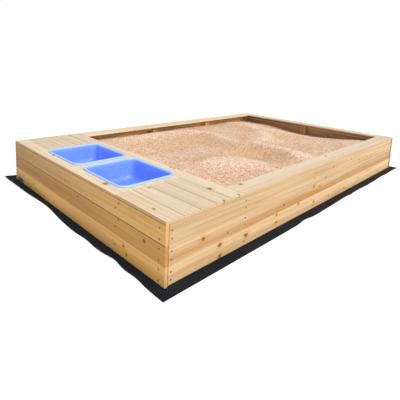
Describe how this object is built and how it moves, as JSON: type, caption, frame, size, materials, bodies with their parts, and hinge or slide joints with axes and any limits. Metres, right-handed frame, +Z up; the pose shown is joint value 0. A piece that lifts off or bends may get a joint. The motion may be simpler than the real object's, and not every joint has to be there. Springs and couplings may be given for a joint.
{
  "type": "sandpit with bench and play tubs",
  "caption": "Long low timber sandpit with a bench deck across one end, two drop-in plastic tubs, flat cap rails, a groundsheet and a sand fill.",
  "frame": {"origin": "middle of the footprint, on the ground under the groundsheet", "axes": "+X along the pit from the bench end to the far end, +Y from the near long wall to the back long wall, +Z up"},
  "size_m": [3.12, 2.032, 0.3273],
  "materials": {
    "wall_timber": "planed softwood, clear, satin",
    "top_timber": "planed softwood, pale, satin",
    "frame_timber": "sawn softwood, matt",
    "tub_plastic": "moulded polypropylene, semi-gloss",
    "sand": "dry washed play sand, matt",
    "groundsheet": "woven polypropylene weed mat, dull",
    "screw_steel": "yellow zinc plated, dulled",
    "plate": "plain satin"
  },
  "bodies": {
    "pit": {"groundsheet": "groundsheet", "bench_end_board_1": "wall_timber", "bench_end_board_2": "wall_timber", "bench_end_board_3": "wall_timber", "far_end_board_1": "wall_timber", "far_end_board_2": "wall_timber", "far_end_board_3": "wall_timber", "near_wall_board_1": "wall_timber", "near_wall_board_2": "wall_timber", "near_wall_board_3": "wall_timber", "back_wall_board_1": "wall_timber", "back_wall_board_2": "wall_timber", "back_wall_board_3": "wall_timber", "corner_post_bench_near": "frame_timber", "corner_post_bench_back": "frame_timber", "corner_post_far_near": "frame_timber", "corner_post_far_back": "frame_timber", "near_post_1": "frame_timber", "near_post_2": "frame_timber", "near_post_3": "frame_timber", "back_post_1": "frame_timber", "back_post_2": "frame_timber", "back_post_3": "frame_timber", "far_end_post": "frame_timber", "bench_end_post_near": "frame_timber", "bench_end_post_back": "frame_timber", "divider_post_near": "frame_timber", "divider_post_back": "frame_timber", "divider_board_1": "wall_timber", "divider_board_2": "wall_timber", "divider_board_3": "wall_timber", "bearer_near": "frame_timber", "bearer_back": "frame_timber", "deck_batten_near": "frame_timber", "deck_batten_back": "frame_timber", "deck_board_near_1": "top_timber", "deck_board_near_2": "top_timber", "deck_board_near_3": "top_timber", "deck_board_near_4": "top_timber", "deck_board_near_5": "top_timber", "deck_board_back_1": "top_timber", "deck_board_back_2": "top_timber", "deck_board_back_3": "top_timber", "deck_board_back_4": "top_timber", "deck_board_back_5": "top_timber", "tub_panel": "top_timber", "near_cap": "top_timber", "back_cap": "top_timber", "far_cap": "top_timber", "near_cap_battens": "frame_timber", "back_cap_battens": "frame_timber", "far_cap_battens": "frame_timber", "long_wall_screws": "screw_steel", "end_wall_screws": "screw_steel", "frame_screws": "screw_steel", "top_screws": "screw_steel", "sand_fill": "sand", "blank_plate": "plate"},
    "tub_near": {"near_tub": "tub_plastic"},
    "tub_back": {"back_tub": "tub_plastic"}
  },
  "joints": [
    {"name": "near_tub_lift", "type": "slide", "parent": "pit", "child": "tub_near", "axis": [0, 0, 1], "range_m": [0, 0.2]},
    {"name": "back_tub_lift", "type": "slide", "parent": "pit", "child": "tub_back", "axis": [0, 0, 1], "range_m": [0, 0.2]}
  ]
}
